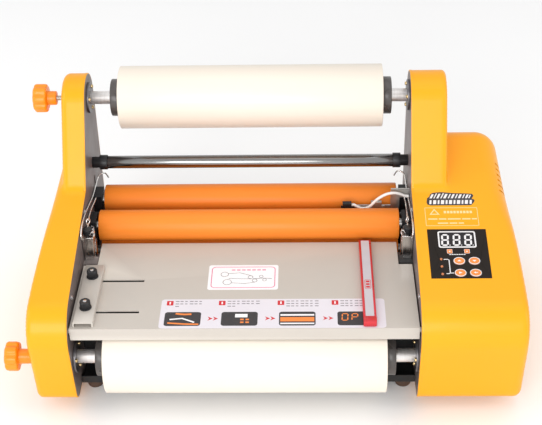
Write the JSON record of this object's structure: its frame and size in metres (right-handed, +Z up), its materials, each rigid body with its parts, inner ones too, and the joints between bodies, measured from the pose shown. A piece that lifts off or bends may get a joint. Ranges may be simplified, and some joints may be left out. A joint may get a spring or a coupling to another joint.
{
  "type": "roll laminator",
  "caption": "Desktop hot and cold roll laminator: side frames, film rolls, silicone nip rollers, tilting feed table, tension knobs and control panel.",
  "frame": {"origin": "on the ground under the middle of the whole object", "axes": "+X to the right seen from the front, +Y to the back, +Z up"},
  "size_m": [0.594, 0.3348, 0.3048],
  "materials": {
    "frame_paint": "satin",
    "black_paint": "satin",
    "foot_rubber": "matte",
    "cover_yellow": "gloss",
    "brass_screws": "polished",
    "bush_metal": "satin",
    "black_plastic": "matte",
    "chrome_bar": "polished",
    "lamp_glass": "clear",
    "motor_metal": "satin",
    "gear_steel": "satin",
    "red_plastic": "gloss",
    "panel_film": "satin",
    "display_dark": "gloss",
    "led_lens": "gloss",
    "circuit_board": "satin",
    "button_orange": "satin",
    "polished_steel": "polished",
    "sheet_zinc": "satin",
    "cable_white": "satin",
    "shaft_steel": "satin",
    "collar_plastic": "satin",
    "film_white": "satin",
    "spring_steel": "bright",
    "knob_orange": "gloss",
    "silicone_orange": "satin",
    "table_paint": "satin"
  },
  "bodies": {
    "root": {"left_side_plate": "frame_paint", "right_side_plate": "frame_paint", "base_pan": "black_paint", "rear_panel": "black_paint", "rubber_feet": "foot_rubber", "left_cover": "cover_yellow", "right_cover": "cover_yellow", "frame_screws": "brass_screws", "film_shaft_bushes": "bush_metal", "idler_mounts": "black_plastic", "lower_roller_bearings": "black_plastic", "lower_heater_lamp": "lamp_glass", "gear_motor": "motor_metal", "rear_sockets": "black_plastic", "control_panel": "panel_film", "display_module": "display_dark", "status_leds": "led_lens", "control_board": "circuit_board", "power_board": "circuit_board", "pressure_brackets": "polished_steel", "sensor_bracket": "sheet_zinc", "sensor_pad": "black_plastic", "sensor_cable": "cable_white", "brake_fittings": "sheet_zinc", "pressure_springs": "spring_steel"},
    "idler": {"idler_bar": "chrome_bar"},
    "upper_film": {"upper_film_shaft": "shaft_steel", "upper_film_collars": "collar_plastic", "upper_film_roll": "film_white"},
    "lower_film": {"lower_film_shaft": "shaft_steel", "lower_film_collars": "collar_plastic", "lower_film_roll": "film_white"},
    "upper_brake": {"upper_brake_cup": "polished_steel", "upper_brake_spring": "spring_steel"},
    "upper_knob": {"upper_tension_knob": "knob_orange"},
    "lower_brake": {"lower_brake_cup": "polished_steel", "lower_brake_spring": "spring_steel"},
    "lower_knob": {"lower_tension_knob": "knob_orange"},
    "front_lower_roller": {"front_lower_core": "gear_steel", "front_lower_sleeve": "silicone_orange"},
    "rear_lower_roller": {"rear_lower_core": "gear_steel", "rear_lower_sleeve": "silicone_orange"},
    "front_carriage": {"front_upper_blocks": "black_plastic"},
    "front_upper_roller": {"front_upper_core": "gear_steel", "front_upper_sleeve": "silicone_orange"},
    "rear_carriage": {"rear_upper_blocks": "black_plastic"},
    "rear_upper_roller": {"rear_upper_core": "gear_steel", "rear_upper_sleeve": "silicone_orange"},
    "middle_gear": {"idler_gear": "gear_steel"},
    "pinion": {"motor_pinion": "gear_steel"},
    "table": {"feed_table": "table_paint"},
    "edge_guide": {"left_guide": "table_paint"},
    "front_screw": {"front_thumb_screw": "black_plastic"},
    "rear_screw": {"rear_thumb_screw": "black_plastic"},
    "stop_bar": {"right_guide": "red_plastic"},
    "button_up": {"temperature_up_button": "button_orange"},
    "button_down": {"temperature_down_button": "button_orange"},
    "button_run": {"run_button": "button_orange"},
    "button_reverse": {"reverse_button": "button_orange"},
    "rocker": {"rocker_switch": "red_plastic"}
  },
  "joints": [
    {"name": "idler_spin", "type": "hinge", "parent": "root", "child": "idler", "pos_m": [0, 0.1073, 0.1862], "axis": [1, 0, 0], "continuous": true},
    {"name": "upper_film_spin", "type": "hinge", "parent": "root", "child": "upper_film", "pos_m": [0, 0.129, 0.2664], "axis": [1, 0, 0], "continuous": true},
    {"name": "lower_film_spin", "type": "hinge", "parent": "root", "child": "lower_film", "pos_m": [0, -0.1249, 0.068], "axis": [1, 0, 0], "continuous": true},
    {"name": "upper_brake_travel", "type": "slide", "parent": "root", "child": "upper_brake", "axis": [-1, 0, 0], "range_m": [0, 0.003], "deforming": ["upper_brake_spring"]},
    {"name": "upper_knob_turn", "type": "hinge", "parent": "upper_brake", "child": "upper_knob", "pos_m": [-0.27, 0.129, 0.2664], "axis": [-1, 0, 0], "range_deg": [0, 1080]},
    {"name": "lower_brake_travel", "type": "slide", "parent": "root", "child": "lower_brake", "axis": [-1, 0, 0], "range_m": [0, 0.003], "deforming": ["lower_brake_spring"]},
    {"name": "lower_knob_turn", "type": "hinge", "parent": "lower_brake", "child": "lower_knob", "pos_m": [-0.27, -0.1249, 0.068], "axis": [-1, 0, 0], "range_deg": [0, 1080]},
    {"name": "front_lower_spin", "type": "hinge", "parent": "root", "child": "front_lower_roller", "pos_m": [0, 0.0376, 0.1005], "axis": [1, 0, 0], "continuous": true},
    {"name": "rear_lower_spin", "type": "hinge", "parent": "root", "child": "rear_lower_roller", "pos_m": [0, 0.0946, 0.1005], "axis": [1, 0, 0], "continuous": true},
    {"name": "front_upper_lift", "type": "slide", "parent": "root", "child": "front_carriage", "axis": [0, 0, 1], "range_m": [0, 0.003], "stiffness_N_per_m": 3000, "springref_m": -0.004, "deforming": ["pressure_springs"]},
    {"name": "front_upper_spin", "type": "hinge", "parent": "front_carriage", "child": "front_upper_roller", "pos_m": [0, 0.0376, 0.1385], "axis": [1, 0, 0], "continuous": true},
    {"name": "rear_upper_lift", "type": "slide", "parent": "root", "child": "rear_carriage", "axis": [0, 0, 1], "range_m": [0, 0.003], "stiffness_N_per_m": 3000, "springref_m": -0.004},
    {"name": "rear_upper_spin", "type": "hinge", "parent": "rear_carriage", "child": "rear_upper_roller", "pos_m": [0, 0.0946, 0.1385], "axis": [1, 0, 0], "continuous": true},
    {"name": "middle_gear_spin", "type": "hinge", "parent": "root", "child": "middle_gear", "pos_m": [0, 0.0661, 0.1005], "axis": [1, 0, 0], "continuous": true},
    {"name": "motor_spin", "type": "hinge", "parent": "root", "child": "pinion", "pos_m": [0, 0.0946, 0.0725], "axis": [1, 0, 0], "continuous": true},
    {"name": "table_tilt", "type": "hinge", "parent": "root", "child": "table", "pos_m": [0, -0.1414, 0.1195], "axis": [1, 0, 0], "range_deg": [0, 75]},
    {"name": "edge_guide_slide", "type": "slide", "parent": "table", "child": "edge_guide", "axis": [1, 0, 0], "range_m": [0, 0.05]},
    {"name": "front_screw_turn", "type": "hinge", "parent": "edge_guide", "child": "front_screw", "pos_m": [-0.2, -0.1154, 0.13], "axis": [0, 0, 1], "range_deg": [0, 180]},
    {"name": "rear_screw_turn", "type": "hinge", "parent": "edge_guide", "child": "rear_screw", "pos_m": [-0.2, -0.0574, 0.13], "axis": [0, 0, 1], "range_deg": [0, 180]},
    {"name": "stop_bar_slide", "type": "slide", "parent": "table", "child": "stop_bar", "axis": [1, 0, 0], "range_m": [-0.1, 0.03]},
    {"name": "press_up", "type": "slide", "parent": "root", "child": "button_up", "axis": [0, 0.221, -0.9753], "range_m": [0, 0.0005], "stiffness_N_per_m": 500, "springref_m": -0.0005},
    {"name": "press_down", "type": "slide", "parent": "root", "child": "button_down", "axis": [0, 0.221, -0.9753], "range_m": [0, 0.0005], "stiffness_N_per_m": 500, "springref_m": -0.0005},
    {"name": "press_run", "type": "slide", "parent": "root", "child": "button_run", "axis": [0, 0.221, -0.9753], "range_m": [0, 0.0005], "stiffness_N_per_m": 500, "springref_m": -0.0005},
    {"name": "press_reverse", "type": "slide", "parent": "root", "child": "button_reverse", "axis": [0, 0.221, -0.9753], "range_m": [0, 0.0005], "stiffness_N_per_m": 500, "springref_m": -0.0005},
    {"name": "mains_rocker", "type": "hinge", "parent": "root", "child": "rocker", "pos_m": [0.24, 0.1556, 0.105], "axis": [0, 0, 1], "range_deg": [0, 11]}
  ],
  "couplings": [
    {"joint": "front_upper_spin", "follows": "front_lower_spin", "ratio": -1},
    {"joint": "rear_lower_spin", "follows": "front_lower_spin", "ratio": 1},
    {"joint": "rear_upper_spin", "follows": "front_lower_spin", "ratio": -1},
    {"joint": "middle_gear_spin", "follows": "front_lower_spin", "ratio": -2},
    {"joint": "motor_spin", "follows": "front_lower_spin", "ratio": -2.5},
    {"joint": "upper_brake_travel", "follows": "upper_knob_turn", "m_per_rad": 0.00015915},
    {"joint": "lower_brake_travel", "follows": "lower_knob_turn", "m_per_rad": 0.00015915}
  ]
}
